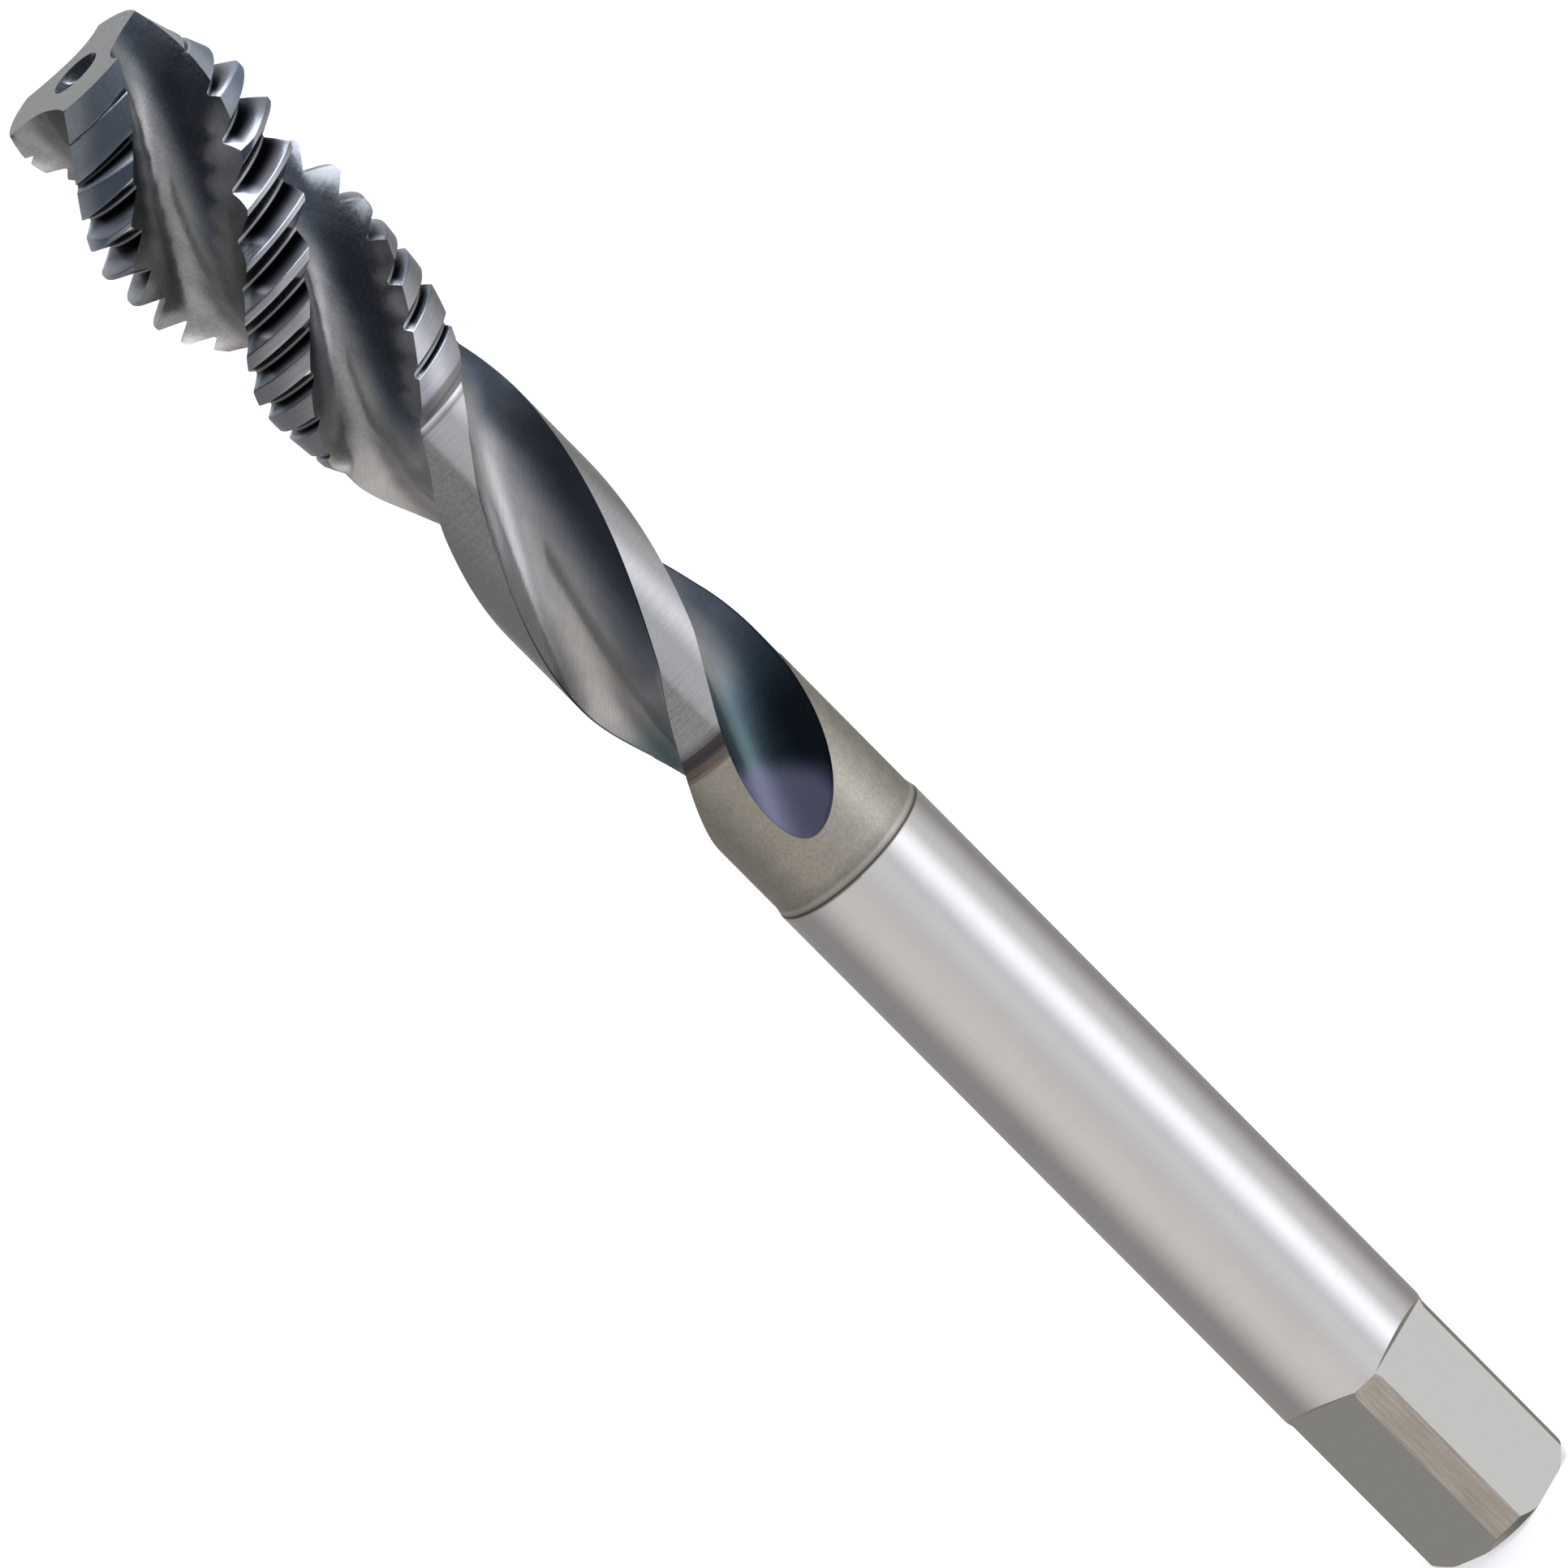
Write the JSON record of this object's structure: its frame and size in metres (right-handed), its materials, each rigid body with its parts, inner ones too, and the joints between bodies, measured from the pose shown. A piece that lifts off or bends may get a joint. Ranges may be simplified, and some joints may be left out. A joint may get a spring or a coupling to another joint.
{
  "type": "spiral flute tap",
  "caption": "Machine tap with helical flutes, a short lead-in chamfer, a slim neck, a round shank and a square drive end, for cutting an internal M8 x 1.25 thread.",
  "frame": {"origin": "middle of the flat rear end of the driving square, on which the tap stands", "axes": "+Z along the tap's axis from the driving square to the cutting tip; the square's flats face +X, -X, +Y and -Y"},
  "size_m": [0.0081, 0.0082, 0.07],
  "materials": {
    "tap_steel": "ground high-speed steel, with darkened flutes, a satin neck and a polished shank"
  },
  "bodies": {
    "root": {"tap_body": "tap_steel"}
  },
  "joints": []
}
